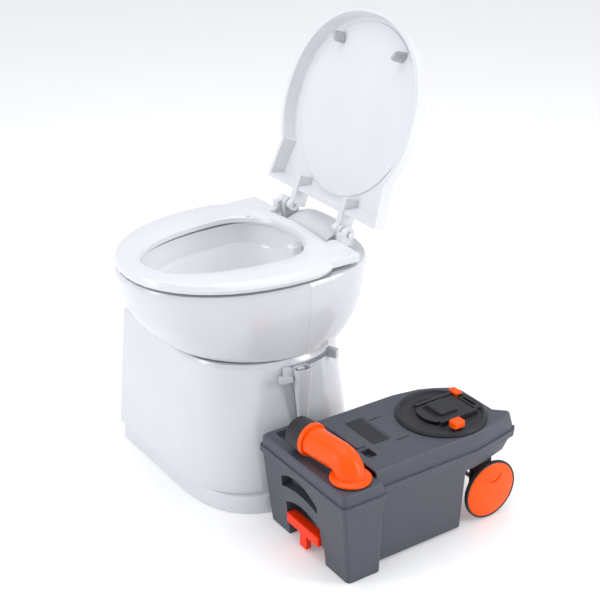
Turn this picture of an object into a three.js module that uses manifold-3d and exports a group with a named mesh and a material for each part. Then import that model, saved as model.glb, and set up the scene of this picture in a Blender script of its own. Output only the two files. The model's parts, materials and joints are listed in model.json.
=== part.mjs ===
// Swivel cassette toilet for a caravan, with its wheeled waste tank standing beside it.
// Millimetres, +Z up, origin on the floor below the swivel axis. The pedestal faces -Y, the bowl
// is turned a quarter turn to face -X, and the tank stands in front of the pedestal, across it.
import * as THREE from 'three';
import { mergeVertices } from 'three/addons/utils/BufferGeometryUtils.js';
import Module from 'manifold-3d';

const wasm = await Module();
wasm.setup();

// ------------------------------------------------------------------ driving dimensions
const GAP = 0.3; // running gap between pieces that touch
const WALL = 4; // moulded shells of the toilet

const DECK_TOP = 290; // top of the pedestal
const DECK_THICK = 5;
const DECK_HOLE = 118;
const PEDESTAL_CENTRE = -17; // the swivel sits a little off the pedestal's middle
const PEDESTAL_HALF = 184;
const PEDESTAL_TOP_HALF = 161;
const PEDESTAL_FRONT = 210;
const PEDESTAL_TOP_FRONT = 180;
const PEDESTAL_BACK = 208;
const SHOULDER_Y = -26; // where the flat sides run into the curved front
const PLINTH_HEIGHT = 36;
const PLINTH_HALF = 178;
const PLINTH_FRONT = 222;
const PLINTH_BACK = 202;
const BASE_THICK = 6;
const BAY_HALF = 142;
const BAY_TOP = 272;
const DOORWAY_LOW = 20;

const RIM_TOP = 444; // top of the bowl casing
const BOWL_FOOT = 291; // lower edge of the bowl casing
const BOWL_FOOT_RADIUS = 181;
const BOWL_HALF = 201;
const BOWL_FRONT = 265;
const BOWL_REAR = 205;
const CREASE_Y = 4; // seam between the front casing and the rear housing
const BOWL_TURN = -Math.PI / 2; // the bowl faces -X

const LINER_HALF = 124;
const LINER_FRONT = 232;
const LINER_REAR = 100;
const OUTLET_RADIUS = 56;
const OUTLET_FOOT = 240;

const SEAT_TOP = 470;
const SEAT_BOTTOM = 449.5;
const SEAT_HALF = 204;
const SEAT_FRONT = 266;
const SEAT_REAR = 119;
const OPENING_HALF = 117;
const OPENING_FRONT = 224;
const OPENING_REAR = 92;

const HINGE_Y = 150;
const HINGE_Z = 477;
const HINGE_RADIUS = 11;
const PIN_RADIUS = 4;
const PIN_CLEAR = 0.4;
const LID_LEAN = 19.3; // degrees past upright when open
const LID_CENTRE = 216; // from the hinge to the middle of the lid
const LID_HALF = 200;
const LID_LENGTH = 196; // from the middle to the front edge
const LID_DEPTH = 24; // how far the inner panel lies behind the hinge line
const PANEL_CENTRE = 221;
const PANEL_HALF = 168;
const PANEL_LENGTH = 170;
const TAIL_HALF = 181; // half width of the square tail at its lower edge
const TAIL_START = 32; // the tail's lower edge, from the hinge
const TAIL_END = 122;

const LEVER_ANGLE = -4; // from the pedestal's front, degrees
const LEVER_SWING = 19;
const TRACK_RADIUS = 190;

// Cassette tank, in its own frame: X across, Y from the spout end to the wheels, front at Y = 0
const TANK_AT = [-121, -352, 0];
const TANK_TURN = -Math.PI / 2;
const TANK_WALL = 3.5;
const BLOCK_HALF = 130; // front block
const BLOCK_LENGTH = 88;
const BLOCK_TOP = 185;
const BODY_CENTRE = 5; // main body behind it, a little towards the spout's side
const BODY_HALF = 104;
const BODY_REAR = 428;
const BODY_TOP = 196;
const BODY_FOOT = 5;
const WHEEL_ROOM = 294; // where the body steps up over the wheels
const TAIL_FOOT = 124; // underside above the wheels
const TAIL_SLOPE = 16; // how far the underside stops short of the rear
const SEAM_Z = 158;
const FLANGE = 3;
const FLANGE_HEIGHT = 6;
const LEAN = 17; // how far the front face leans back at its foot
const DRAFT = 7;
const WHEEL_RADIUS = 59;
const WHEEL_Y = 359;
const WHEEL_INNER = 76;
const WHEEL_OUTER = 100;
const AXLE_RADIUS = 5;
const TYRE_THICK = 3.5;
const TYRE_WIDTH = 10;
const MECH_X = 14;
const MECH_Y = 304;
const MECH_RADIUS = 86;
const VALVE_RADIUS = 46;
const BLADE_LOW = 182;
const SPOUT_X = 85;
const SPOUT_Y = 46;
const SPOUT_HOLE = 26;
const SPOUT_TURN = 6; // degrees, the pipe's mouth turned towards the front
const PIPE_RADIUS = 26.5;
const PIPE_WALL = 3;
const PIPE_AXIS = 217.5;
const MOUTH_REACH = 105;
const MOUTH_RADIUS = 31.5;
const LATCH = [-6, 18, 43]; // pivot of the red latch
const KNOB = [61, -14]; // blade knob, from the middle of the mechanism
const VENT = [-35, 63];

// ------------------------------------------------------------------ materials
function finish(color, roughness, metalness = 0) {
  return { color, roughness, metalness };
}
const WHITE = finish('#eef0f4', 0.18);
const SEAT_WHITE = finish('#f3f4f7', 0.2);
const GREY = finish('#b5b8bc', 0.4);
const RUBBER = finish('#2b2c2f', 0.85);
const PALE_RUBBER = finish('#a9acb0', 0.7);
const NYLON = finish('#d9dadd', 0.45);
const STEEL = finish('#b9bcc0', 0.3, 1);
const SLATE = finish('#555862', 0.48);
const DARK_SLATE = finish('#3f4249', 0.5);
const BLACK = finish('#1c1d20', 0.5);
const ORANGE = finish('#ff650d', 0.35);
const RED = finish('#ff4515', 0.4);

// ------------------------------------------------------------------ solids
const { degToRad, lerp } = THREE.MathUtils;
const SIDES = [['left', -1], ['right', 1]];

// Closed geometry -> manifold solid. Triangles without area are dropped, and the faces are
// turned outwards if the surface was wound the other way.
function solid(geometry) {
  const bare = geometry.clone();
  bare.deleteAttribute('normal');
  bare.deleteAttribute('uv');
  const merged = mergeVertices(bare, 1e-4);
  const corners = merged.attributes.position.array;
  const index = merged.index.array;
  const faces = [];
  const [a, b, c] = [0, 0, 0].map(() => new THREE.Vector3());
  let volume = 0;
  for (let i = 0; i < index.length; i += 3) {
    const [p, q, r] = index.slice(i, i + 3);
    if (p === q || q === r || r === p) continue;
    faces.push(p, q, r);
    a.fromArray(corners, p * 3);
    b.fromArray(corners, q * 3);
    c.fromArray(corners, r * 3);
    volume += a.dot(b.cross(c));
  }
  if (volume < 0) faces.reverse();
  return new wasm.Manifold(new wasm.Mesh({
    numProp: 3,
    vertProperties: new Float32Array(corners),
    triVerts: new Uint32Array(faces),
  }));
}

function join(first, ...others) {
  return others.reduce((sum, other) => sum.add(other), first);
}

function cut(first, ...others) {
  return others.reduce((rest, other) => rest.subtract(other), first);
}

function add(group, name, body, look) {
  const mesh = body.getMesh();
  const geometry = new THREE.BufferGeometry();
  geometry.setAttribute('position', new THREE.BufferAttribute(new Float32Array(mesh.vertProperties), 3));
  geometry.setIndex(new THREE.BufferAttribute(new Uint32Array(mesh.triVerts), 1));
  geometry.computeVertexNormals();
  const node = new THREE.Mesh(geometry, new THREE.MeshStandardMaterial(look));
  node.name = name;
  group.add(node);
}

// A skin over rings of points. As a loop it closes on itself; otherwise both ends are capped
// with a fan about their middles.
function skin(rings, loop = false) {
  const count = rings[0].length;
  const points = rings.flat();
  const index = [];
  const strips = loop ? rings.length : rings.length - 1;
  for (let i = 0; i < strips; i += 1) {
    const next = (i + 1) % rings.length;
    for (let j = 0; j < count; j += 1) {
      const k = (j + 1) % count;
      const [a, b] = [i * count + j, i * count + k];
      const [c, d] = [next * count + k, next * count + j];
      index.push(a, b, c, a, c, d);
    }
  }
  const caps = loop ? [] : [[0, true], [rings.length - 1, false]];
  for (const [row, first] of caps) {
    const middle = new THREE.Vector3();
    rings[row].forEach((p) => middle.add(p));
    points.push(middle.divideScalar(count));
    for (let j = 0; j < count; j += 1) {
      const a = row * count + j;
      const b = row * count + ((j + 1) % count);
      index.push(points.length - 1, ...(first ? [b, a] : [a, b]));
    }
  }
  const geometry = new THREE.BufferGeometry();
  const flat = points.flatMap((p) => p.toArray());
  geometry.setAttribute('position', new THREE.Float32BufferAttribute(flat, 3));
  geometry.setIndex(index);
  return solid(geometry);
}

// Turned piece about Z from [radius, height] points
function turned(profile, segments = 20) {
  const points = profile.map(([r, z]) => new THREE.Vector2(r, z));
  if (points[0].x > 0) points.push(points[0].clone());
  return solid(new THREE.LatheGeometry(points, segments).rotateX(Math.PI / 2));
}

function ring(inner, outer, low, high, segments = 24) {
  return turned([[inner, low], [outer, low], [outer, high], [inner, high]], segments);
}

function disc(radius, low, high, segments = 28) {
  return turned([[0, low], [radius, low], [radius, high], [0, high]], segments);
}

function box(x0, x1, y0, y1, z0, z1) {
  const geometry = new THREE.BoxGeometry(x1 - x0, y1 - y0, z1 - z0);
  return solid(geometry.translate((x0 + x1) / 2, (y0 + y1) / 2, (z0 + z1) / 2));
}

// Cylinder along X
function rod(radius, x0, x1, y, z, segments = 24) {
  const geometry = new THREE.CylinderGeometry(radius, radius, x1 - x0, segments).rotateZ(Math.PI / 2);
  return solid(geometry.translate((x0 + x1) / 2, y, z));
}

// The same span of X mirrored for the left-hand side
function spanOf(side, near, far) {
  return side > 0 ? [near, far] : [-far, -near];
}

function roundedShape(x0, x1, y0, y1, radius) {
  const shape = new THREE.Shape();
  shape.absarc(x1 - radius, y0 + radius, radius, -Math.PI / 2, 0);
  shape.absarc(x1 - radius, y1 - radius, radius, 0, Math.PI / 2);
  shape.absarc(x0 + radius, y1 - radius, radius, Math.PI / 2, Math.PI);
  shape.absarc(x0 + radius, y0 + radius, radius, Math.PI, Math.PI * 1.5);
  shape.closePath();
  return shape;
}

function extruded(shape, low, high, bevel = 0, curveSegments = 5) {
  const geometry = new THREE.ExtrudeGeometry(shape, {
    depth: high - low - 2 * bevel,
    bevelEnabled: bevel > 0,
    bevelThickness: bevel,
    bevelSize: bevel,
    bevelOffset: -bevel,
    bevelSegments: 1,
    curveSegments,
  });
  return solid(geometry.translate(0, 0, low + bevel));
}

function slab(x0, x1, y0, y1, low, high, radius = 3, bevel = 1) {
  return extruded(roundedShape(x0, x1, y0, y1, radius), low, high, bevel, 2);
}

// Part of a ring about Z between two angles, in degrees from +X
function sector(inner, outer, low, high, from, to, steps = 12) {
  const shape = new THREE.Shape();
  shape.absarc(0, 0, outer, degToRad(from), degToRad(to), false);
  shape.absarc(0, 0, inner, degToRad(to), degToRad(from), true);
  shape.closePath();
  return extruded(shape, low, high, 0, steps);
}

// A shape drawn in X and Z, extruded along Y
function pushed(shape, y0, y1, curveSegments = 8) {
  return extruded(shape, -y1, -y0, 0, curveSegments).rotate([90, 0, 0]);
}

// ------------------------------------------------------------------ outlines
function power(value, exponent) {
  return Math.sign(value) * Math.abs(value) ** exponent;
}

// Oval with its own reach to the front (-Y) and to the rear (+Y)
function oval(half, front, rear, z, { nFront = 2.15, nRear = 2.7, steps = 36, centre = 0 } = {}) {
  return Array.from({ length: steps }, (_, i) => {
    const t = (i / steps) * 2 * Math.PI;
    const n = Math.sin(t) < 0 ? nFront : nRear;
    const reach = Math.sin(t) < 0 ? front : rear;
    const x = half * power(Math.cos(t), 2 / n);
    return new THREE.Vector3(x, centre + reach * power(Math.sin(t), 2 / n), z);
  });
}

function circle(radius, z, steps = 36) {
  return oval(radius, radius, radius, z, { nFront: 2, nRear: 2, steps });
}

function cornerArc(x, y, radius, start, z, steps = 3) {
  return Array.from({ length: steps + 1 }, (_, i) => {
    const t = degToRad(start + (i / steps) * 90);
    return new THREE.Vector3(x + radius * Math.cos(t), y + radius * Math.sin(t), z);
  });
}

function rectangle(x0, x1, y0, y1, z, radius = 8) {
  return [
    ...cornerArc(x1 - radius, y0 + radius, radius, -90, z),
    ...cornerArc(x1 - radius, y1 - radius, radius, 0, z),
    ...cornerArc(x0 + radius, y1 - radius, radius, 90, z),
    ...cornerArc(x0 + radius, y0 + radius, radius, 180, z),
  ];
}

// ------------------------------------------------------------------ pedestal
// Plan with a curved front, straight sides and a flat back
function pedestalOutline(half, front, back, z, squareness) {
  const steps = 26;
  const corner = 14;
  const points = [];
  for (let i = 0; i <= steps; i += 1) {
    const t = Math.PI * (1 + i / steps);
    const x = PEDESTAL_CENTRE + half * power(Math.cos(t), 2 / squareness);
    const y = SHOULDER_Y + (front + SHOULDER_Y) * power(Math.sin(t), 2 / squareness);
    points.push(new THREE.Vector3(x, y, z));
  }
  const inner = half - corner;
  return [
    ...points,
    ...cornerArc(PEDESTAL_CENTRE + inner, back - corner, corner, 0, z),
    ...cornerArc(PEDESTAL_CENTRE - inner, back - corner, corner, 90, z),
  ];
}

function pedestalRing(share, inset, z = lerp(PLINTH_HEIGHT + GAP, DECK_TOP, share)) {
  const half = lerp(PEDESTAL_HALF, PEDESTAL_TOP_HALF, share) - inset;
  const front = lerp(PEDESTAL_FRONT, PEDESTAL_TOP_FRONT, share) - inset;
  return pedestalOutline(half, front, PEDESTAL_BACK - inset, z, lerp(2.4, 2.2, share));
}

// Angles of the lever's travel, widened by a margin at each end
function leverTravel(margin) {
  return [-90 + LEVER_ANGLE - margin, -90 + LEVER_ANGLE + LEVER_SWING + margin];
}

// Outer form of the pedestal, grown by a margin
function pedestalForm(margin) {
  return skin([
    pedestalRing(0, -margin),
    pedestalRing(0.5, -margin),
    pedestalRing(0.97, -margin),
    pedestalRing(1, 5 - margin),
  ]);
}

function pedestalShell() {
  const outer = pedestalForm(0);
  const inner = skin([
    pedestalRing(0, WALL, PLINTH_HEIGHT - 4),
    pedestalRing(0.5, WALL),
    pedestalRing(0.97, WALL, DECK_TOP - DECK_THICK),
  ]);
  const doorway = box(
    PEDESTAL_CENTRE - BAY_HALF,
    PEDESTAL_CENTRE + BAY_HALF,
    PEDESTAL_BACK - 30,
    PEDESTAL_BACK + 20,
    DOORWAY_LOW,
    BAY_TOP,
  );
  const slot = sector(150, 230, 268, 277.5, ...leverTravel(6));
  return cut(outer, inner, disc(DECK_HOLE, DECK_TOP - 20, DECK_TOP + 10, 32), doorway, slot);
}

function plinth() {
  const frame = (inset, z) => pedestalOutline(
    PLINTH_HALF - inset,
    PLINTH_FRONT - inset,
    PLINTH_BACK - inset,
    z,
    2.7,
  );
  const top = PLINTH_HEIGHT;
  const rings = [
    frame(0, 0),
    frame(0, 28),
    frame(3, top),
    frame(16, top),
    frame(16, 10),
    frame(6, 10),
    frame(6, 0),
  ];
  const doorway = box(
    PEDESTAL_CENTRE - BAY_HALF,
    PEDESTAL_CENTRE + BAY_HALF,
    PLINTH_BACK - 40,
    PLINTH_BACK + 10,
    BASE_THICK + 1,
    top + 10,
  );
  return cut(skin(rings, true), doorway);
}

const SCREW_PLACES = [[-171, 150], [137, 150], [-150, -100], [116, -100]];

function basePlate() {
  const edge = (z) => pedestalOutline(PLINTH_HALF - 6.5, PLINTH_FRONT - 6.5, PLINTH_BACK - 6.5, z, 2.7);
  const holes = SCREW_PLACES.map(([x, y]) => disc(3.2, -5, 12, 16).translate([x, y, 0]));
  return cut(skin([edge(0), edge(BASE_THICK)]), ...holes);
}

function floorScrew() {
  const head = BASE_THICK + GAP;
  return turned([[0, 1], [2.6, 1], [2.6, head], [6.5, head], [5.2, head + 3.3], [0, head + 4]], 12);
}

function buildPedestal(root) {
  add(root, 'pedestal_shell', pedestalShell(), WHITE);
  add(root, 'plinth', plinth(), WHITE);
  add(root, 'base_plate', basePlate(), WHITE);
  SCREW_PLACES.forEach(([x, y], i) => {
    add(root, `floor_screw_${i + 1}`, floorScrew().translate([x, y, 0]), STEEL);
  });
  const foot = BASE_THICK + GAP;
  for (const [name, side] of SIDES) {
    const [x0, x1] = spanOf(side, 8, 12);
    const rail = join(box(-12, 12, -90, 185, foot, foot + 4), box(x0, x1, -90, 185, foot + 3, 28));
    add(root, `bay_rail_${name}`, rail.translate([PEDESTAL_CENTRE + side * 128, 0, 0]), NYLON);
  }
  add(root, 'swivel_race', ring(121, 134, DECK_TOP + GAP, DECK_TOP + 6), NYLON);
  const under = DECK_TOP - DECK_THICK - GAP;
  const carrier = join(
    ring(78, 129, 260, 263),
    ring(126, 129, 262, under),
    ring(126, 136, under - 3, under),
  );
  add(root, 'drive_carrier', cut(carrier, sector(115, 145, 264, 279, ...leverTravel(9))), NYLON);
  const stopAngle = leverTravel(7)[1];
  const lug = sector(TRACK_RADIUS - 30, TRACK_RADIUS + 7, 264, 282, stopAngle, stopAngle + 3, 3);
  add(root, 'lever_stop', cut(lug, pedestalForm(GAP)), GREY); // seats on the pedestal's side
}

// ------------------------------------------------------------------ blade control
function buildLever(root) {
  const lever = new THREE.Group();
  lever.rotation.z = degToRad(LEVER_ANGLE);
  root.add(lever);
  const arm = box(-7, 7, -TRACK_RADIUS - 8, -98, 269, 276);
  add(lever, 'drive_ring', join(ring(82, 107, 263.6, 269.4), arm), NYLON);
  const section = (width, depth, z) => oval(width / 2, depth / 2, depth / 2, z, {
    nFront: 3,
    nRear: 3,
    steps: 20,
    centre: -0.02 * (279 - z),
  });
  const leverForm = (margin) => skin([[16, 12, 171], [21, 15, 177], [35, 26, 268], [36, 27, 279]]
    .map(([width, depth, z]) => section(width + 2 * margin, depth + 2 * margin, z)));
  const hollow = skin([section(29, 19, 246), section(32, 22, 290)]);
  const socket = box(-7.3, 7.3, -3, 30, 268.7, 276.3);
  const place = [0, -TRACK_RADIUS - 10, 0];
  add(lever, 'blade_lever', cut(leverForm(0), hollow, socket).translate(place), GREY);
  const [inner, start, end] = [TRACK_RADIUS, -103, -96.2];
  const web = sector(inner, inner + 10, 257, 278, end - 1, end + 2.4, 3);
  const bracket = join(
    sector(inner, inner + 16, 256, 266, start, end, 4),
    sector(inner, inner + 10, 265, 281, start + 2.5, end, 4),
    cut(web, leverForm(GAP).translate(place)), // reaches to the lever's side
  );
  add(lever, 'lever_bracket', bracket, GREY);
}

// ------------------------------------------------------------------ bowl, in its own frame: faces -Y
function bowlRing(share, inset, steps = 48) {
  const grow = 1 - (1 - share) ** 2.5;
  const size = (rim) => lerp(BOWL_FOOT_RADIUS, rim, grow) - inset;
  return oval(size(BOWL_HALF), size(BOWL_FRONT), size(BOWL_REAR), lerp(BOWL_FOOT, RIM_TOP, share), {
    nRear: lerp(2, 2.8, grow),
    nFront: lerp(2, 2.15, grow),
    steps,
  });
}

// Room inside the bowl casing, kept a margin clear of its walls
function casingRoom(margin) {
  return skin([-0.02, 0.2, 0.972].map((share) => bowlRing(Math.max(share, 0), WALL + margin)
    .map((p) => p.setZ(lerp(BOWL_FOOT, RIM_TOP, share)))));
}

function bowlCasing() {
  const outer = skin([[0, 3], [0.03, 0], [0.15, 0], [0.32, 0], [0.58, 0], [0.95, 0], [1, 4]]
    .map(([share, inset]) => bowlRing(share, inset)));
  const hole = skin([400, 460].map((z) => oval(LINER_HALF + 6, LINER_FRONT + 6, LINER_REAR + 6, z)));
  return cut(outer, casingRoom(0), hole);
}

function halfOf(body, front) {
  const far = 400;
  const [y0, y1] = front ? [CREASE_Y - GAP / 2, far] : [-far, CREASE_Y + GAP / 2];
  return cut(body, box(-far, far, y0, y1, 200, 600));
}

// The basin narrows to a round outlet on the swivel axis; share 0 is its rim, 1 its outlet
function linerRing(share, inset, z) {
  const narrow = (rim) => lerp(rim, OUTLET_RADIUS, share) - inset;
  return oval(narrow(LINER_HALF), narrow(LINER_FRONT), narrow(LINER_REAR), z, {
    nFront: lerp(2.15, 2, share),
    nRear: lerp(2.7, 2, share),
  });
}

const LINER_LEVELS = [[1, 318], [0.6, 340], [0.38, 356], [0.16, 402], [0.06, 407], [0, 440]];

// Room inside the basin, kept a margin clear of its wall
function basinRoom(margin) {
  return skin(LINER_LEVELS.map(([share, z]) => linerRing(share, margin, z)));
}

function liner() {
  const skinThick = 3.5;
  const flange = RIM_TOP + GAP;
  const lip = (out, z) => linerRing(0, -out, z);
  const outer = skin([
    circle(OUTLET_RADIUS + skinThick, OUTLET_FOOT),
    ...LINER_LEVELS.map(([share, z]) => linerRing(share, -skinThick, z - skinThick)),
    lip(4, flange),
    lip(13, flange),
    lip(12, flange + 2.4),
  ]);
  const inner = skin([
    circle(OUTLET_RADIUS, OUTLET_FOOT - 5),
    ...LINER_LEVELS.map(([share, z]) => linerRing(share, 0, z)),
    lip(0, flange + 10),
  ]);
  return cut(outer, inner);
}

function seatRing() {
  const profile = [
    [0, 454], [0.02, 462], [0.12, 467.3], [0.42, SEAT_TOP], [0.75, 469.2],
    [0.93, 465], [1, 457], [0.96, SEAT_BOTTOM + 0.6], [0.08, SEAT_BOTTOM],
  ];
  const inside = oval(OPENING_HALF, OPENING_FRONT, OPENING_REAR, 0, { nFront: 2.1, nRear: 2.2, steps: 44 });
  const outside = oval(SEAT_HALF, SEAT_FRONT, SEAT_REAR, 0, { nFront: 2.1, nRear: 2.5, steps: 44 });
  return skin(profile.map(([u, z]) => inside.map((p, i) => p.clone().lerp(outside[i], u).setZ(z))), true);
}

function pinHole(x0, x1, y, z) {
  return rod(PIN_RADIUS + PIN_CLEAR, x0 - 5, x1 + 5, y, z, 16);
}

function seat() {
  const arms = SIDES.map(([, side]) => {
    const [x0, x1] = spanOf(side, 98, 182);
    const [k0, k1] = spanOf(side, 102, 118);
    const arm = join(
      slab(x0, x1, 55, 128, 451, 468, 6, 2),
      box(k0, k1, 110, HINGE_Y, 456, 467),
      box(k0, k1, 130, HINGE_Y, 466, HINGE_Z + 4),
      rod(HINGE_RADIUS, k0, k1, HINGE_Y, HINGE_Z),
    );
    return cut(arm, pinHole(k0, k1, HINGE_Y, HINGE_Z));
  });
  return join(seatRing(), ...arms);
}

// Humped cover between the seat and the lid
function rearDeck() {
  const half = 69;
  const [front, back] = [123, 199];
  const profile = [
    [front, 448], [127, 456], [136, 461.5], [152, 467],
    [170, 471], [186, 471], [196, 465], [back, 452],
  ];
  const rings = profile.map(([y, z]) => {
    const bow = 10 * ((y - front) / (back - front));
    const points = [];
    const across = 10;
    for (let i = 0; i <= across; i += 1) {
      const u = (i / across) * 2 - 1;
      points.push(new THREE.Vector3(u * half, y - bow * u * u, z - 5 * u ** 4));
    }
    points.push(new THREE.Vector3(half, y - bow, RIM_TOP + GAP));
    points.push(new THREE.Vector3(-half, y - bow, RIM_TOP + GAP));
    return points;
  });
  return skin(rings);
}

function hingePost(side) {
  const [x0, x1] = spanOf(side, 87, 100);
  const foot = box(x0, x1, HINGE_Y - 12, HINGE_Y + 22, RIM_TOP + GAP, HINGE_Z);
  const post = join(foot, rod(12, x0, x1, HINGE_Y, HINGE_Z));
  return cut(post, pinHole(x0, x1, HINGE_Y, HINGE_Z));
}

function hingePin(side) {
  const [x0, x1] = spanOf(side, 72, 119);
  const [h0, h1] = spanOf(side, 118.4, 121);
  return join(rod(PIN_RADIUS, x0, x1, HINGE_Y, HINGE_Z, 16), rod(6, h0, h1, HINGE_Y, HINGE_Z, 16));
}

function hose(points, outer, inner) {
  const path = new THREE.CatmullRomCurve3(points.map((p) => new THREE.Vector3(...p)));
  const sweep = (radius) => {
    const section = new THREE.Shape().absarc(0, 0, radius, 0, Math.PI * 2);
    return solid(new THREE.ExtrudeGeometry(section, { steps: 9, extrudePath: path, curveSegments: 4 }));
  };
  return cut(sweep(outer), sweep(inner));
}

function buildFlush(bowl) {
  const y = LINER_REAR;
  const nozzle = slab(14, 36, y - 26, y + 8, 424, 439, 4, 1);
  add(bowl, 'flush_nozzle', nozzle.intersect(basinRoom(GAP)), WHITE); // seats on the basin's wall
  const mount = box(-12, 12, 176, 210, 358, 376).intersect(casingRoom(GAP)); // reaches to the housing
  const outlet = disc(11, 384, 402, 16).translate([0, 165, 0]);
  const valve = join(slab(-24, 24, 150, 180, 350, 385, 4, 1), outlet, mount);
  add(bowl, 'flush_valve', valve, BLACK);
  const run = [
    [0, 165, 402.5], [0, 165, 412], [6, 158, 422],
    [16, 140, 426], [22, 122, 427], [23, 104.6, 427],
  ];
  add(bowl, 'flush_hose', hose(run, 6, 4), RUBBER);
}

function buildBowl(bowl) {
  const casing = bowlCasing();
  add(bowl, 'bowl_casing', halfOf(casing, true), WHITE);
  add(bowl, 'rear_housing', halfOf(casing, false), WHITE);
  add(bowl, 'bowl_liner', liner(), WHITE);
  add(bowl, 'turntable', ring(OUTLET_RADIUS + 4, 174, 297, 301, 28), NYLON);
  add(bowl, 'retaining_ring', turned([
    [106, 281], [124, 281], [124, 284.6], [DECK_HOLE - 1.5, 284.6], [DECK_HOLE - 1.5, 296.7], [106, 296.7],
  ], 24), NYLON);
  add(bowl, 'outlet_seal', ring(OUTLET_RADIUS + 4.5, 70, OUTLET_FOOT, OUTLET_FOOT + 10), RUBBER);
  add(bowl, 'rear_deck', rearDeck(), WHITE);
  for (const [name, side] of SIDES) {
    add(bowl, `hinge_post_${name}`, hingePost(side), WHITE);
    add(bowl, `hinge_pin_${name}`, hingePin(side), STEEL);
  }
  buildFlush(bowl);
  add(bowl, 'seat', seat(), SEAT_WHITE);
  for (const [name, side] of SIDES) {
    const pad = slab(side * 158 - 8, side * 158 + 8, -95, -60, RIM_TOP + GAP, SEAT_BOTTOM - GAP, 5, 0);
    add(bowl, `seat_buffer_${name}`, pad, PALE_RUBBER);
  }
}

// ------------------------------------------------------------------ lid, in its own frame:
// Y from the hinge to the lid's front edge, Z towards the seat when shut
function lidOutline(grow, z) {
  return oval(LID_HALF + grow, LID_CENTRE - TAIL_START + grow, LID_LENGTH + grow, z, {
    nFront: 2.1,
    nRear: 2.15,
    steps: 44,
    centre: LID_CENTRE,
  });
}

function tailOutline(grow, z) {
  const [x0, x1] = [TAIL_HALF + grow, TAIL_HALF - 12 + grow];
  const [y0, y1] = [TAIL_START - grow, TAIL_END];
  return [[x0, y0], [x1, y1], [x1 - 60, y1 + 30], [-x1 + 60, y1 + 30], [-x1, y1], [-x0, y0]]
    .map(([x, y]) => new THREE.Vector3(x, y, z));
}

function buildLid(bowl) {
  const lid = new THREE.Group();
  lid.position.set(0, HINGE_Y, HINGE_Z);
  lid.rotation.x = degToRad(90 - LID_LEAN);
  bowl.add(lid);
  const floor = -LID_DEPTH;
  const rim = 3;
  const outer = skin([
    lidOutline(-70, floor - 15),
    lidOutline(-34, floor - 12),
    lidOutline(-9, floor - 3),
    lidOutline(-2, -8),
    lidOutline(0, rim),
  ]);
  const hollow = skin([lidOutline(-16, floor), lidOutline(-12, floor + 4), lidOutline(-7, rim + 6)]);
  const tail = skin([tailOutline(-14, floor - 8), tailOutline(-3, floor), tailOutline(0, rim)]);
  const tailHollow = skin([tailOutline(-16, floor), tailOutline(-6, rim + 6)]);
  const arms = SIDES.flatMap(([, side]) => {
    const [x0, x1] = spanOf(side, 71, 85);
    return [rod(HINGE_RADIUS, x0, x1, 0, 0), box(x0, x1, 0, 62, floor - 3, 5)];
  });
  const body = join(cut(join(outer, tail), hollow, tailHollow), ...arms);
  add(lid, 'lid', cut(body, pinHole(-90, 90, 0, 0)), SEAT_WHITE);
  const panel = (grow, z) => oval(PANEL_HALF + grow, PANEL_LENGTH + grow, PANEL_LENGTH + grow, z, {
    nFront: 2,
    nRear: 2,
    centre: PANEL_CENTRE,
  });
  const seatOn = floor + GAP;
  const armRoom = SIDES.map(([, side]) => box(...spanOf(side, 70, 86), 0, 63, -40, 20));
  const plate = skin([panel(0, seatOn), panel(0, seatOn + 1.5), panel(-2, seatOn + 2.5)]);
  add(lid, 'lid_panel', cut(plate, ...armRoom), SEAT_WHITE);
  for (const [name, side] of SIDES) {
    const low = seatOn + 2.5 + GAP;
    const foot = (grow, z) => oval(7 + grow, 12 + grow, 12 + grow, z, { nFront: 2, nRear: 2, steps: 20 });
    const pad = skin([foot(0, low), foot(-1, 0), foot(-4, 5.5)]);
    const placed = pad.rotate([0, 0, side * -30]).translate([side * 95, 342, 0]);
    add(lid, `lid_buffer_${name}`, placed, PALE_RUBBER);
  }
}

// ------------------------------------------------------------------ tank shells
// Plan of the main body: hollowed rear edge, one rear corner cut back and the other an ear
function bodyOutline(half, rear, z, start = BLOCK_LENGTH - 2) {
  const near = [[half, start], [half, 310], [half - 7, 350], [half - 19, rear - 14], [half - 31, rear]];
  const far = [[-half + 40, rear - 27], [-half + 22, rear - 56], [-half + 9, rear - 86], [-half, 275]];
  const edge = [[half - 50, rear - 20], [-half + 55, rear - 20]];
  return [...near, ...edge, ...far, [-half, start]]
    .map(([x, y]) => new THREE.Vector3(BODY_CENTRE + x, y, z));
}

function boxOutline(half, y0, y1, z) {
  return rectangle(BODY_CENTRE - half, BODY_CENTRE + half, y0, y1, z);
}

function blockOutline(inset, z) {
  return rectangle(-BLOCK_HALF + inset, BLOCK_HALF - inset, inset, BLOCK_LENGTH - inset, z);
}

// Upright arch drawn in X and Z
function archShape(x0, x1, low, spring, top) {
  const shape = new THREE.Shape();
  shape.moveTo(x0, low);
  shape.lineTo(x1, low);
  shape.lineTo(x1, spring);
  shape.quadraticCurveTo((x0 + x1) / 2, 2 * top - spring, x0, spring);
  shape.closePath();
  return shape;
}

function gripShape() {
  const [x0, x1, mid] = [-68, 44, -12];
  const shape = new THREE.Shape();
  shape.moveTo(x0, 105);
  shape.quadraticCurveTo(mid, 126, x1, 105);
  shape.lineTo(x1, 120);
  shape.quadraticCurveTo(mid, 164, x0, 127);
  shape.closePath();
  return shape;
}

// The flange both shells share along the seam
function seamFlange(low, high) {
  return join(
    skin([low, high].map((z) => bodyOutline(BODY_HALF + FLANGE, BODY_REAR + 1, z))),
    skin([low, high].map((z) => blockOutline(-FLANGE, z))),
  );
}

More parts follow.
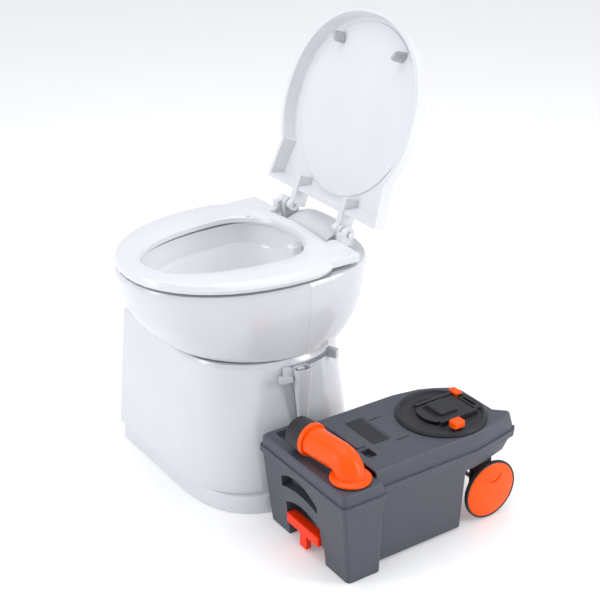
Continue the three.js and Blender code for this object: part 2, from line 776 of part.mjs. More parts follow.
function tankLower() {
  const w = TANK_WALL;
  const foot = rectangle(-BLOCK_HALF + DRAFT, BLOCK_HALF - DRAFT, LEAN, BLOCK_LENGTH, 0);
  const outer = join(
    skin([foot, blockOutline(0, SEAM_Z)]),
    skin([
      boxOutline(BODY_HALF - 6, 60, WHEEL_ROOM - 4, BODY_FOOT),
      boxOutline(BODY_HALF, 60, WHEEL_ROOM, SEAM_Z),
    ]),
    skin([
      bodyOutline(BODY_HALF - 6, BODY_REAR - TAIL_SLOPE, TAIL_FOOT),
      bodyOutline(BODY_HALF, BODY_REAR, SEAM_Z),
    ]),
    seamFlange(SEAM_Z - FLANGE_HEIGHT, SEAM_Z),
  );
  const open = SEAM_Z + 5;
  const behind = BLOCK_LENGTH - 10; // the hollow starts here, behind the handle block
  const hollow = join(
    skin([
      boxOutline(BODY_HALF - 6 - w, behind, WHEEL_ROOM - 4 - w, BODY_FOOT + w),
      boxOutline(BODY_HALF - w, behind, WHEEL_ROOM - w, open),
    ]),
    skin([
      bodyOutline(BODY_HALF - 6 - w, BODY_REAR - TAIL_SLOPE - w, TAIL_FOOT + w, behind),
      bodyOutline(BODY_HALF - w, BODY_REAR - w, open, behind),
    ]),
    slab(70, BLOCK_HALF - w - DRAFT, LEAN + w, behind + 2, 20, open, 6, 0),
    slab(-BLOCK_HALF + w + DRAFT, -80, LEAN + w, behind + 2, 20, open, 6, 0),
  );
  const pockets = [
    pushed(gripShape(), -10, 24),
    pushed(archShape(-60, 48, -5, 74, 90), -10, 56),
    box(40, 55, -10, 56, -5, 37),
    rod(2.8, LATCH[0] - 61, LATCH[0] + 61, LATCH[1], LATCH[2], 16),
  ];
  return cut(outer, hollow, ...pockets);
}

function tankUpper() {
  const w = TANK_WALL;
  const seam = SEAM_Z + GAP;
  const outer = join(
    skin([blockOutline(0, seam), blockOutline(1, BLOCK_TOP - 4), blockOutline(4, BLOCK_TOP)]),
    skin([
      bodyOutline(BODY_HALF, BODY_REAR, seam),
      bodyOutline(BODY_HALF - 3, BODY_REAR - 9, BODY_TOP - 4),
      bodyOutline(BODY_HALF - 6, BODY_REAR - 13, BODY_TOP),
    ]),
    seamFlange(seam, seam + FLANGE_HEIGHT),
  );
  const hollow = join(
    skin([blockOutline(w, seam - 5), blockOutline(w + 3, BLOCK_TOP - w)]),
    skin([
      bodyOutline(BODY_HALF - w, BODY_REAR - w, seam - 5),
      bodyOutline(BODY_HALF - 4 - w, BODY_REAR - 12 - w, BODY_TOP - w),
    ]),
  );
  const additions = [
    slab(-122, 52, 19, 86, 166, BLOCK_TOP - 1, 8, 0), // walls of the trough
    slab(-80, 28, 99, 122, BODY_TOP - 3, BODY_TOP + 5, 5, 1.5), // rib behind the spout
    slab(30, 66, 97, 126, BODY_TOP - 16, BODY_TOP - 2, 4, 0), // walls of the finger hole
  ];
  const removals = [
    slab(-118, 48, 23, 82, 170, BLOCK_TOP + 5, 8, 0),
    slab(34, 62, 101, 122, BODY_TOP - 12, BODY_TOP + 5, 3, 0),
    slab(-60, 30, 135, 178, BODY_TOP - 1.2, BODY_TOP + 5, 4, 0),
    disc(SPOUT_HOLE, 150, 230, 32).translate([SPOUT_X, SPOUT_Y, 0]),
    disc(VALVE_RADIUS + 12, 150, 230).translate([MECH_X, MECH_Y, 0]),
    disc(7.5, 150, 230, 20).translate([MECH_X + KNOB[0], MECH_Y + KNOB[1], 0]),
    disc(7.5, 150, 230, 20).translate([MECH_X + VENT[0], MECH_Y + VENT[1], 0]),
  ];
  return cut(join(cut(outer, hollow), ...additions), ...removals);
}

// ------------------------------------------------------------------ tank fittings
// Round section of the elbow at a point of its centre line; the angle is how far it has bent
function elbowRing(x, z, bent, radius) {
  const steps = 18;
  const out = new THREE.Vector3(Math.cos(bent), 0, Math.sin(bent));
  return Array.from({ length: steps }, (_, i) => {
    const t = (i / steps) * Math.PI * 2;
    const point = new THREE.Vector3(x, radius * Math.sin(t), z);
    return point.addScaledVector(out, radius * Math.cos(t));
  });
}

// Quarter bend from upright to level, then straight to the mouth
function elbow(radius, low, foot, mouth) {
  const bend = PIPE_AXIS - low;
  const rings = [elbowRing(0, foot, 0, radius)];
  const steps = 5;
  for (let i = 0; i <= steps; i += 1) {
    const bent = (i / steps) * Math.PI / 2;
    rings.push(elbowRing(bend * (Math.cos(bent) - 1), low + bend * Math.sin(bent), bent, radius));
  }
  rings.push(elbowRing(-mouth, PIPE_AXIS, Math.PI / 2, radius));
  return skin(rings);
}

// Turns a piece made about Z so that it points out of the pipe's mouth
function atMouth(body) {
  return body.rotate([0, -90, 0]).translate([-MOUTH_REACH, 0, PIPE_AXIS]);
}

function buildSpout(tank) {
  const rest = BLOCK_TOP + GAP;
  const collar = rest + 2.2;
  const bush = turned([[21, 172], [25.5, 172], [25.5, rest], [33, rest], [33, collar], [21, collar]], 24);
  add(tank, 'spout_bush', bush.translate([SPOUT_X, SPOUT_Y, 0]), BLACK);
  const spout = new THREE.Group();
  spout.position.set(SPOUT_X, SPOUT_Y, 0);
  spout.rotation.z = degToRad(SPOUT_TURN);
  tank.add(spout);
  const low = collar + GAP;
  const flange = turned([[24, low], [37, low], [37, low + 3], [33, low + 6], [24, low + 8]], 28);
  const rim = atMouth(turned([
    [25, -8], [MOUTH_RADIUS - 1, -8], [MOUTH_RADIUS, -6], [MOUTH_RADIUS, 0], [25, 0],
  ], 28));
  const bore = elbow(PIPE_RADIUS - PIPE_WALL, low + 1, low - 5, MOUTH_REACH + 5);
  const pipe = elbow(PIPE_RADIUS, low + 1, low, MOUTH_REACH);
  add(spout, 'spout_elbow', cut(join(pipe, rim, flange), bore), ORANGE);
  const edge = MOUTH_RADIUS - 0.5;
  const cap = turned([
    [0, 38], [edge - 5, 38], [edge - 2, 35], [edge, 6], [edge, GAP], [28.5, GAP], [28.5, 32], [0, 32],
  ], 28);
  add(spout, 'spout_cap', atMouth(cap), DARK_SLATE);
  add(spout, 'cap_seal', atMouth(ring(24, 28, GAP, 3)), RUBBER);
}

function buildMechanism(tank) {
  const mech = new THREE.Group();
  mech.position.set(MECH_X, MECH_Y, 0);
  tank.add(mech);
  const base = BODY_TOP + GAP;
  const plate = turned([
    [VALVE_RADIUS + 6, base - 6], [VALVE_RADIUS + 11, base - 6], [VALVE_RADIUS + 11, base],
    [MECH_RADIUS, base], [MECH_RADIUS, base + 3], [MECH_RADIUS - 4, base + 7], [MECH_RADIUS - 9, base + 7],
    [MECH_RADIUS - 11, base + 4], [VALVE_RADIUS + 10, base + 4], [VALVE_RADIUS + 10, base + 1],
    [VALVE_RADIUS + 6, base + 1],
  ], 36);
  const rearStep = slab(-19, 30, 57, 74, base + 1, base + 9, 3, 1);
  const rearSlot = slab(-15, 20, 61, 68, base + 4, base + 15, 2, 0);
  const holes = [KNOB, VENT].map(([x, y]) => disc(7.5, 180, 230, 16).translate([x, y, 0]));
  add(mech, 'mechanism_housing', cut(join(plate, rearStep), rearSlot, ...holes), DARK_SLATE);
  add(mech, 'lip_seal', turned([
    [VALVE_RADIUS - 4, BLADE_LOW + 5.5], [VALVE_RADIUS + 5.5, BLADE_LOW + 5.5],
    [VALVE_RADIUS + 5.5, base + 1.3], [VALVE_RADIUS + 9.5, base + 1.3],
    [VALVE_RADIUS + 9.5, base + 2.6], [VALVE_RADIUS - 1, base + 2.6],
  ], 36), RUBBER);
  const low = base + 7.5;
  const cover = new THREE.Shape();
  cover.absarc(0, 0, 47, degToRad(228), degToRad(312), false);
  cover.lineTo(32, 52);
  cover.lineTo(-32, 52);
  cover.closePath();
  const boss = slab(-26, 20, -18, 24, low + 2, low + 9, 4, 2);
  const recess = slab(-24, 18, -28, -20, low + 1, low + 5, 2, 0);
  add(mech, 'sliding_cover', cut(join(extruded(cover, low, low + 3, 0.8), boss), recess), DARK_SLATE);
  for (const [name, x] of [['left', -37], ['right', 37]]) {
    add(mech, `cover_guide_${name}`, slab(x - 4, x + 4, -32, 54, base + 4.3, low + 5, 2, 0), DARK_SLATE);
  }
  const knob = new THREE.Group();
  knob.position.set(...KNOB, 0);
  mech.add(knob);
  add(knob, 'blade_knob', slab(-10, 10, -13, 13, base + 7.5, base + 22, 5, 2.5), ORANGE);
  add(knob, 'blade_shaft', disc(6.5, BLADE_LOW + 5.3, base + 7.2, 16), BLACK);
  const lean = Math.atan2(KNOB[1], KNOB[0]);
  const blade = join(
    disc(VALVE_RADIUS + 2, BLADE_LOW, BLADE_LOW + 5, 36).translate([-Math.hypot(...KNOB), 0, 0]),
    box(-30, 0, -10, 10, BLADE_LOW, BLADE_LOW + 5),
    disc(11, BLADE_LOW, BLADE_LOW + 5, 20),
  );
  add(knob, 'valve_blade', blade.rotate([0, 0, THREE.MathUtils.radToDeg(lean)]), BLACK);
  const stem = disc(6, base - 10, base + 12, 16);
  const tab = slab(-13, 13, -8, 8, base + 10.5, base + 16, 5, 2);
  add(mech, 'vent_button', join(stem, tab).translate([...VENT, 0]), ORANGE);
}

function buildLatch(tank) {
  const latch = new THREE.Group();
  latch.position.set(...LATCH);
  tank.add(latch);
  const bar = slab(-50, 50, -11, 9, -9, 11, 3, 1.5);
  const stem = slab(-11, 11, -9, 3, -38, -6, 2, 1);
  const bore = rod(2.9, -60, 60, 0, 0, 16);
  add(latch, 'tank_latch', cut(join(bar, stem), bore), RED);
  add(latch, 'latch_pin', rod(2.5, -60, 60, 0, 0, 16), STEEL);
}

// Shallow crescent sunk into the upper part of a hub's domed face
function thumbRest(side, rim, width) {
  const up = -side * rim;
  const low = width + 0.9;
  return disc(22, low, low + 9, 32).translate([up * 0.72, 0, 0])
    .subtract(disc(26, low - 5, low + 10, 36).translate([up * 0.92, 0, 0]));
}

function buildWheels(tank) {
  const chassis = new THREE.Group();
  chassis.position.set(BODY_CENTRE, WHEEL_Y, 0);
  tank.add(chassis);
  const lift = TAIL_FOOT - GAP;
  for (const [name, side] of SIDES) {
    const [x0, x1] = spanOf(side, 62, 68);
    const plate = join(
      box(x0, x1, -24, 24, WHEEL_RADIUS, lift),
      rod(14, x0, x1, 0, WHEEL_RADIUS),
      box(...spanOf(side, 52, 68), -24, 20, lift - 4, lift),
    );
    const hole = rod(AXLE_RADIUS + GAP, x0 - 5, x1 + 5, 0, WHEEL_RADIUS, 16);
    add(chassis, `axle_bracket_${name}`, cut(plate, hole), BLACK);
  }
  add(chassis, 'axle', rod(AXLE_RADIUS, -WHEEL_OUTER + 2, WHEEL_OUTER - 2, 0, WHEEL_RADIUS, 16), STEEL);
  const width = WHEEL_OUTER - WHEEL_INNER;
  const bore = AXLE_RADIUS + GAP;
  const rim = WHEEL_RADIUS - TYRE_THICK;
  const inner = width - TYRE_WIDTH; // inner face of the rim
  const hub = [
    [bore, 0], [13, 0], [15, inner], [rim, inner], [rim, width - 3], [rim - 5, width],
    [rim / 2, width + 3], [0, width + 4], [0, width - 1], [bore, width - 1],
  ];
  const tread = [
    [rim + GAP, inner], [WHEEL_RADIUS - 1, inner], [WHEEL_RADIUS, inner + 2], [WHEEL_RADIUS, width - 4],
    [WHEEL_RADIUS - 1, width - 2], [rim + GAP, width - 2],
  ];
  for (const [name, side] of SIDES) {
    const wheel = new THREE.Group();
    wheel.position.set(side * WHEEL_INNER, 0, WHEEL_RADIUS);
    wheel.rotation.y = side * Math.PI / 2;
    chassis.add(wheel);
    add(wheel, `wheel_${name}`, cut(turned(hub, 36), thumbRest(side, rim, width)), ORANGE);
    add(wheel, `tyre_${name}`, turned(tread, 36), BLACK);
  }
}

function buildTank(root) {
  const tank = new THREE.Group();
  tank.position.set(...TANK_AT);
  tank.rotation.z = TANK_TURN;
  root.add(tank);
  add(tank, 'tank_lower', tankLower(), SLATE);
  add(tank, 'tank_upper', tankUpper(), SLATE);
  buildSpout(tank);
  buildMechanism(tank);
  buildLatch(tank);
  buildWheels(tank);
}

// ------------------------------------------------------------------ assembly
const toilet = new THREE.Group();
buildPedestal(toilet);
buildLever(toilet);

const bowl = new THREE.Group();
bowl.rotation.z = BOWL_TURN;
toilet.add(bowl);
buildBowl(bowl);
buildLid(bowl);

buildTank(toilet);

export default toilet;
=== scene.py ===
"""Looks of the cassette toilet: materials, moulded details, floor, light and camera."""

import json
import math

import bmesh
import bpy
from mathutils import Matrix, Vector


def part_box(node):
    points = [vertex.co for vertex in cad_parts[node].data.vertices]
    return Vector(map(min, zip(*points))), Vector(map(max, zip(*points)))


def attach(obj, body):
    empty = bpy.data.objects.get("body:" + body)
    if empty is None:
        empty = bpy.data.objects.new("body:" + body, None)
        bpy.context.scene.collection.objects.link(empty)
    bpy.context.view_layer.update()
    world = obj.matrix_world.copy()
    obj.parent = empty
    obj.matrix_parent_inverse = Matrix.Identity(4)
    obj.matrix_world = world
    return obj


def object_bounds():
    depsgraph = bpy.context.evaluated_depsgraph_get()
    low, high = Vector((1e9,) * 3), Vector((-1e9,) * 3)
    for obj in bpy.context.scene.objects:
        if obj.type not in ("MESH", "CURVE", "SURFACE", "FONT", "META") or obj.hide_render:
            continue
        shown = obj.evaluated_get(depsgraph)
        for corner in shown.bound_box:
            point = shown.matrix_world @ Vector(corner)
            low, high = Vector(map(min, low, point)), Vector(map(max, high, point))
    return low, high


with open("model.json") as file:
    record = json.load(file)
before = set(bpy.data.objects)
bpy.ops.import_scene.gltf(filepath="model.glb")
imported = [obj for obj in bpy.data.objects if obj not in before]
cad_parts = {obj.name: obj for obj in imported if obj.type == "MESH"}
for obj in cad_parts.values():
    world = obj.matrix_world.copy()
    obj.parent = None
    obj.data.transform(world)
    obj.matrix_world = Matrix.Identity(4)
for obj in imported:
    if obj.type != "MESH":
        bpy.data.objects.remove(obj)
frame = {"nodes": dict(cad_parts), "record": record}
cad_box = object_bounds()
nodes = frame["nodes"]

# ---- driving values, in metres, degrees and linear colour ----
CAMERA_TARGET = Vector((0.129164, 0.020286, 0.294))
CAMERA_AZIMUTH = -34
CAMERA_ELEVATION = 25
CAMERA_DISTANCE = 2.6267
CAMERA_LENS = 78
CAMERA_SENSOR = 36

SMOOTH_LIMIT = 38          # edges sharper than this stay crisp
WELD = 1e-6
CORNER_STEPS = 5
GRAIN = 620                # moulded grain, cells per metre
FLOOR_GLOW = 0.16
FLOOR_HALF = 40
FLOOR_CELLS = 8
FLOOR_DROP = 0.0005        # keeps the floor just under the feet
WORLD_STRENGTH = 0.72
LAMP_TARGET = Vector((0.03, -0.1, 0.3))

# tank details: places are across and along the tank from its front
GUIDE_ABOVE_TOP = 0.0046   # from the tank's top up to the cover guides' feet
LABEL_RECESS = 0.0012
LABEL_PLACE = (-0.020, 0.1565)
LABEL_SIZE = (0.0395, 0.0865)
LABEL_CORNER = 0.003
DASH_ALONG = 0.196
DASH_ACROSS = (-0.047, 0.036)
DASH_SIZE = (0.026, 0.0022)
DASH_CORNER = 0.001
DASH_SINK = 0.0002
DETAIL_THICKNESS = 0.0009
DETAIL_BEVEL = 0.0003

WHITE = (0.65, 0.663, 0.690)
# painted light: the liner's white is painted lighter than the casing white, to make up for the shade inside
# the basin
LINER_WHITE_PAINTED_LIGHTER = (0.86, 0.868, 0.885)
SEAT_WHITE = (0.74, 0.75, 0.772)
LEVER_GREY = (0.60, 0.61, 0.635)
NYLON = (0.58, 0.585, 0.59)
PALE_RUBBER = (0.40, 0.41, 0.43)
DARK_RUBBER = (0.022, 0.022, 0.024)
STEEL = (0.62, 0.63, 0.65)
SLATE = (0.060, 0.065, 0.083)
DARK_SLATE = (0.020, 0.021, 0.025)
BLACK = (0.016, 0.016, 0.018)
ORANGE = (1.0, 0.096, 0.0)
RED = (0.98, 0.036, 0.001)


# ---- material building ----
class Shader:
    """A material's node tree, with short calls for the nodes used here."""

    def __init__(self, name):
        self.material = bpy.data.materials.new(name)
        self.material.use_nodes = True
        self.tree = self.material.node_tree
        self.surface = self.tree.nodes["Principled BSDF"]
        self.place = self.tree.nodes.new("ShaderNodeTexCoord").outputs["Object"]

    def link(self, source, target):
        self.tree.links.new(source, target)

    def noise(self, scale, detail=3, stretch=(1, 1, 1), roughness=0.5):
        """Noise of about one blob per 1/scale metres, stretched along the axes."""
        mapping = self.tree.nodes.new("ShaderNodeMapping")
        mapping.inputs["Scale"].default_value = stretch
        self.link(self.place, mapping.inputs["Vector"])
        noise = self.tree.nodes.new("ShaderNodeTexNoise")
        noise.inputs["Scale"].default_value = scale
        noise.inputs["Detail"].default_value = detail
        noise.inputs["Roughness"].default_value = roughness
        self.link(mapping.outputs["Vector"], noise.inputs["Vector"])
        return noise.outputs["Fac"]

    def remap(self, source, low, high, to_low, to_high):
        """Stretches low..high of the source to to_low..to_high, and clamps it."""
        node = self.tree.nodes.new("ShaderNodeMapRange")
        for name, value in (("From Min", low), ("From Max", high), ("To Min", to_low), ("To Max", to_high)):
            node.inputs[name].default_value = value
        self.link(source, node.inputs["Value"])
        return node.outputs["Result"]

    def blend(self, share, first, second):
        """Mixes two colours, or a colour onto a socket, by the share socket."""
        node = self.tree.nodes.new("ShaderNodeMix")
        node.data_type = "RGBA"
        self.link(share, node.inputs["Factor"])
        for socket, value in ((node.inputs[6], first), (node.inputs[7], second)):
            if isinstance(value, tuple):
                socket.default_value = (*value, 1)
            else:
                self.link(value, socket)
        return node.outputs[2]

    def rounded(self, radius):
        """Normal of the surface with its edges rounded by radius."""
        bevel = self.tree.nodes.new("ShaderNodeBevel")
        bevel.samples = 4
        bevel.inputs["Radius"].default_value = radius
        return bevel.outputs["Normal"]

    def edges(self, radius, most):
        """Mask for paler edges that are partly wear and partly painted highlight: up to most on edges,
        broken up by noise, and zero elsewhere, where rounding turns the normal.
        """
        geometry = self.tree.nodes.new("ShaderNodeNewGeometry")
        turn = self.tree.nodes.new("ShaderNodeVectorMath")
        turn.operation = "DOT_PRODUCT"
        self.link(self.rounded(radius), turn.inputs[0])
        self.link(geometry.outputs["Normal"], turn.inputs[1])
        wear_and_highlight = self.remap(turn.outputs["Value"], 0.88, 0.995, most, 0)
        return self.product(wear_and_highlight, self.remap(self.noise(70, 4), 0.3, 0.6, 0.3, 1))

    def product(self, first, second):
        node = self.tree.nodes.new("ShaderNodeMath")
        node.operation = "MULTIPLY"
        self.link(first, node.inputs[0])
        self.link(second, node.inputs[1])
        return node.outputs["Value"]

    def bump(self, heights, radius=None):
        """Adds (height socket, strength, depth) layers of bump, on edges rounded by radius."""
        normal = self.rounded(radius) if radius else None
        for height, strength, depth in heights:
            node = self.tree.nodes.new("ShaderNodeBump")
            node.inputs["Strength"].default_value = strength
            node.inputs["Distance"].default_value = depth
            self.link(height, node.inputs["Height"])
            if normal is not None:
                self.link(normal, node.inputs["Normal"])
            normal = node.outputs["Normal"]
        self.link(normal, self.surface.inputs["Normal"])

    def set(self, **values):
        for name, value in values.items():
            self.surface.inputs[name.replace("_", " ")].default_value = value


def shade(colour, factor):
    return tuple(min(1.0, c * factor) for c in colour)


def gloss_plastic(name, colour, roughness, radius, coat=0.0, ior=1.5):
    """Polished moulded plastic: mottling, smudged gloss, soft waviness, and paler edges that are partly
    wear and partly painted highlight.
    """
    s = Shader(name)
    mottle = s.remap(s.noise(9, 4), 0.35, 0.65, 0, 1)
    body = s.blend(mottle, shade(colour, 0.98), shade(colour, 1.01))
    specks = s.remap(s.noise(700, 2), 0.68, 0.8, 0, 0.25)
    body = s.blend(specks, body, shade(colour, 0.9))
    # paler edges: partly wear, partly painted highlight along the edges
    wear_and_highlight = s.edges(radius, 0.6)
    s.link(s.blend(wear_and_highlight, body, shade(colour, 1.1)), s.surface.inputs["Base Color"])
    smudges = s.remap(s.noise(23, 5, roughness=0.65), 0.4, 0.7, roughness * 0.92, roughness * 1.2)
    s.link(smudges, s.surface.inputs["Roughness"])
    s.bump([(s.noise(30, 1), 0.05, 0.001), (s.noise(900, 2), 0.04, 0.0002)], radius)
    s.set(IOR=ior, Coat_Weight=coat, Coat_Roughness=0.06)
    return s.material


def grained_plastic(name, colour, roughness, radius, ior=1.36):
    """Grained moulded plastic: spark-eroded texture, mottling, scuffs, and paler edges that are partly
    rubbed wear and partly painted highlight.
    """
    s = Shader(name)
    mottle = s.remap(s.noise(14, 5, roughness=0.6), 0.35, 0.65, 0, 1)
    body = s.blend(mottle, shade(colour, 0.88), shade(colour, 1.1))
    grains = s.noise(GRAIN, 3)
    body = s.blend(s.remap(grains, 0.35, 0.65, 0, 1), body, shade(colour, 1.28))
    scuffs = s.remap(s.noise(60, 6, stretch=(1, 9, 3), roughness=0.7), 0.63, 0.76, 0, 0.5)
    body = s.blend(scuffs, body, shade(colour, 1.6))
    # paler edges: partly rubbed wear, partly painted highlight along the edges
    wear_and_highlight = s.edges(radius * 1.3, 0.8)
    s.link(s.blend(wear_and_highlight, body, shade(colour, 3)), s.surface.inputs["Base Color"])
    s.link(s.remap(mottle, 0, 1, roughness * 0.9, roughness * 1.15), s.surface.inputs["Roughness"])
    s.bump([(grains, 0.5, 0.0006), (s.noise(16, 2), 0.1, 0.002)], radius)
    s.set(IOR=ior)
    return s.material


def rubber(name, colour, roughness):
    """Matt rubber: dusty bloom and a fine pebbled skin."""
    s = Shader(name)
    bloom = s.remap(s.noise(40, 6, roughness=0.7), 0.4, 0.7, 0, 0.7)
    body = s.blend(bloom, colour, shade(colour, 1.7))
    # paler edges: partly wear, partly painted highlight along the edges
    wear_and_highlight = s.edges(0.0006, 0.7)
    s.link(s.blend(wear_and_highlight, body, shade(colour, 2.2)), s.surface.inputs["Base Color"])
    s.link(s.remap(bloom, 0, 0.7, roughness, roughness * 1.2), s.surface.inputs["Roughness"])
    s.bump([(s.noise(1100, 3), 0.45, 0.0004)], 0.0006)
    s.set(IOR=1.5)
    return s.material


def turned_steel(name, colour):
    """Turned steel: fine lines round the pin, patchy polish, and paler edges that are partly wear and
    partly painted highlight.
    """
    s = Shader(name)
    lines = s.noise(2600, 2, stretch=(0.04, 1, 0.04))
    body = s.blend(lines, shade(colour, 0.8), shade(colour, 1.1))
    # paler edges: partly wear, partly painted highlight along the edges
    s.link(s.blend(s.edges(0.0003, 0.8), body, shade(colour, 1.3)), s.surface.inputs["Base Color"])
    s.link(s.remap(s.noise(120, 4), 0.35, 0.65, 0.22, 0.42), s.surface.inputs["Roughness"])
    s.bump([(lines, 0.3, 0.0001)], 0.0003)
    s.set(Metallic=1.0)
    return s.material


MATERIALS = {
    "white_plastic": gloss_plastic("white_plastic", WHITE, 0.2, 0.0012, coat=0.5),
    # the liner's lighter white is painted light for the shade inside the basin
    "liner_plastic": gloss_plastic("liner_plastic", LINER_WHITE_PAINTED_LIGHTER, 0.12, 0.0012, coat=0.8),
    "seat_plastic": gloss_plastic("seat_plastic", SEAT_WHITE, 0.22, 0.0012, coat=0.2),
    "grey_plastic": gloss_plastic("grey_plastic", LEVER_GREY, 0.36, 0.0008),
    "nylon": grained_plastic("nylon", NYLON, 0.5, 0.0006),
    "pale_rubber": rubber("pale_rubber", PALE_RUBBER, 0.6),
    "dark_rubber": rubber("dark_rubber", DARK_RUBBER, 0.62),
    "steel": turned_steel("steel", STEEL),
    "slate_plastic": grained_plastic("slate_plastic", SLATE, 0.5, 0.0011, ior=1.47),
    "dark_slate_plastic": grained_plastic("dark_slate_plastic", DARK_SLATE, 0.44, 0.0009),
    "black_plastic": grained_plastic("black_plastic", BLACK, 0.45, 0.0006),
    "orange_plastic": gloss_plastic("orange_plastic", ORANGE, 0.32, 0.0009, ior=1.32),
    "red_plastic": gloss_plastic("red_plastic", RED, 0.36, 0.0008, ior=1.32),
}


# ---- shading of the CAD nodes ----
def smoothing_tree():
    """Welds the mesh and smooths it, leaving edges sharper than SMOOTH_LIMIT crisp."""
    tree = bpy.data.node_groups.new("smooth_by_angle", "GeometryNodeTree")
    for side in ("INPUT", "OUTPUT"):
        tree.interface.new_socket("Geometry", in_out=side, socket_type="NodeSocketGeometry")
    start = tree.nodes.new("NodeGroupInput")
    weld = tree.nodes.new("GeometryNodeMergeByDistance")
    weld.inputs["Distance"].default_value = WELD
    faces = tree.nodes.new("GeometryNodeSetShadeSmooth")
    angle = tree.nodes.new("GeometryNodeInputMeshEdgeAngle")
    gentle = tree.nodes.new("FunctionNodeCompare")
    gentle.operation = "LESS_THAN"
    gentle.inputs[1].default_value = math.radians(SMOOTH_LIMIT)
    edges = tree.nodes.new("GeometryNodeSetShadeSmooth")
    edges.domain = "EDGE"
    end = tree.nodes.new("NodeGroupOutput")
    for source, target in (
        (start.outputs[0], weld.inputs["Geometry"]),
        (weld.outputs["Geometry"], faces.inputs["Geometry"]),
        (faces.outputs["Geometry"], edges.inputs["Geometry"]),
        (angle.outputs["Unsigned Angle"], gentle.inputs[0]),
        (gentle.outputs["Result"], edges.inputs["Shade Smooth"]),
        (edges.outputs["Geometry"], end.inputs[0]),
    ):
        tree.links.new(source, target)
    return tree


def finish_surface(piece, tree, material):
    """Gives a piece its material and crisp-edged smooth shading."""
    piece.data.materials.clear()
    piece.data.materials.append(material)
    if "custom_normal" in piece.data.attributes:
        piece.data.attributes.remove(piece.data.attributes["custom_normal"])
    piece.modifiers.new("smooth", "NODES").node_group = tree
    weighted = piece.modifiers.new("weighted", "WEIGHTED_NORMAL")
    weighted.keep_sharp = True


SMOOTHING = smoothing_tree()
for row in frame["record"]["subparts"]:
    finish_surface(nodes[row["node"]], SMOOTHING, MATERIALS[row["material_slot"]])


# ---- moulded details of the tank ----
def tank_point(across, along, z):
    """A point in the frame from a place across and along the tank."""
    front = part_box("tank_lower")[0].x
    middle = (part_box("axle")[0].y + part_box("axle")[1].y) / 2
    return Vector((front + along, middle - across, z))


def rounded_plate(name, centre, size, corner, body, slot):
    """A thin flat plate with rounded corners and soft edges; its underside is at centre."""
    half = Vector(size) / 2
    outline = []
    for quarter in range(4):
        sx, sy = ((1, 1), (-1, 1), (-1, -1), (1, -1))[quarter]
        for step in range(CORNER_STEPS + 1):
            turn = math.radians(90 * (quarter + step / CORNER_STEPS))
            x = sx * (half.x - corner) + corner * math.cos(turn)
            y = sy * (half.y - corner) + corner * math.sin(turn)
            outline.append(Vector((x, y, 0)) + centre)
    shape = bmesh.new()
    face = shape.faces.new([shape.verts.new(point) for point in outline])
    risen = bmesh.ops.extrude_face_region(shape, geom=[face])["geom"]
    tops = [part for part in risen if isinstance(part, bmesh.types.BMVert)]
    bmesh.ops.translate(shape, verts=tops, vec=(0, 0, DETAIL_THICKNESS))
    bmesh.ops.recalc_face_normals(shape, faces=shape.faces)
    mesh = bpy.data.meshes.new(name)
    shape.to_mesh(mesh)
    shape.free()
    piece = bpy.data.objects.new(name, mesh)
    bpy.context.scene.collection.objects.link(piece)
    soft = piece.modifiers.new("bevel", "BEVEL")
    soft.width = DETAIL_BEVEL
    soft.segments = 2
    finish_surface(piece, SMOOTHING, MATERIALS[slot])
    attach(piece, body)


def build_tank_details():
    """A blank pad in the label recess and a moulded dash on each side behind it."""
    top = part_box("cover_guide_left")[0].z - GUIDE_ABOVE_TOP
    pad = tank_point(*LABEL_PLACE, top - LABEL_RECESS)
    rounded_plate("label_pad", pad, LABEL_SIZE, LABEL_CORNER, "tank", "dark_slate_plastic")
    for number, across in enumerate(DASH_ACROSS, 1):
        name = f"moulded_dash_{number}"
        place = tank_point(across, DASH_ALONG, top - DASH_SINK)
        rounded_plate(name, place, DASH_SIZE, DASH_CORNER, "tank", "dark_slate_plastic")


build_tank_details()


# ---- floor, light and camera ----
def look_at(piece, target):
    piece.rotation_mode = "QUATERNION"
    piece.rotation_quaternion = (target - piece.location).to_track_quat("-Z", "Y")


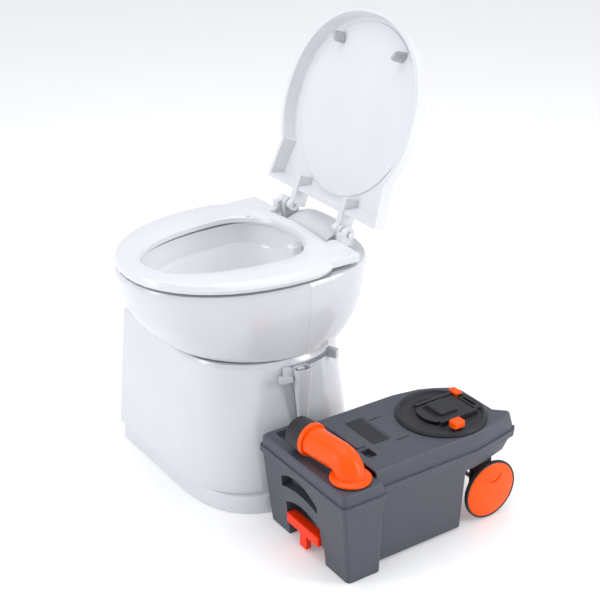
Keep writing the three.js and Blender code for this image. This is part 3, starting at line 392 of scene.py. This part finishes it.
def floor_material():
    s = Shader("studio_floor")
    tone = s.remap(s.noise(3, 3), 0.3, 0.7, 0, 1)
    s.link(s.blend(tone, (0.93, 0.93, 0.935), (0.95, 0.95, 0.955)), s.surface.inputs["Base Color"])
    s.set(Roughness=0.6, Emission_Color=(1, 1, 1, 1), Emission_Strength=FLOOR_GLOW)
    s.bump([(s.noise(400, 2), 0.05, 0.0002)])
    return s.material


def build_floor():
    mesh = bpy.data.meshes.new("studio_floor")
    grid = bmesh.new()
    bmesh.ops.create_grid(grid, x_segments=FLOOR_CELLS, y_segments=FLOOR_CELLS, size=FLOOR_HALF)
    grid.to_mesh(mesh)
    grid.free()
    floor = bpy.data.objects.new("studio_floor", mesh)
    floor.data.materials.append(floor_material())
    bpy.context.scene.collection.objects.link(floor)
    floor.location.z = cad_box[0].z - FLOOR_DROP


def area_light(name, location, size, power):
    lamp = bpy.data.lights.new(name, "AREA")
    lamp.shape = "RECTANGLE"
    lamp.size, lamp.size_y = size
    lamp.energy = power
    piece = bpy.data.objects.new(name, lamp)
    bpy.context.scene.collection.objects.link(piece)
    piece.location = location
    look_at(piece, LAMP_TARGET)


def build_world():
    world = bpy.data.worlds.new("studio")
    bpy.context.scene.world = world
    world.use_nodes = True
    background = world.node_tree.nodes["Background"]
    background.inputs["Color"].default_value = (0.93, 0.95, 1.0, 1)
    background.inputs["Strength"].default_value = WORLD_STRENGTH


def build_camera():
    lens = bpy.data.cameras.new("camera")
    lens.lens = CAMERA_LENS
    lens.sensor_width = CAMERA_SENSOR
    camera = bpy.data.objects.new("camera", lens)
    bpy.context.scene.collection.objects.link(camera)
    turn, lift = math.radians(CAMERA_AZIMUTH), math.radians(CAMERA_ELEVATION)
    back = Vector((math.sin(turn) * math.cos(lift), -math.cos(turn) * math.cos(lift), math.sin(lift)))
    camera.location = CAMERA_TARGET + CAMERA_DISTANCE * back
    look_at(camera, CAMERA_TARGET)
    bpy.context.scene.camera = camera


build_floor()
build_world()
area_light("key", (-2.7, 0.5, 1.3), (0.8, 2.0), 24)
area_light("front", (2.3, -2.6, 1.4), (0.8, 2.0), 46)
area_light("top", (0.1, 0.1, 3.0), (2.4, 2.4), 34)
build_camera()
bpy.context.scene.view_settings.view_transform = "Standard"
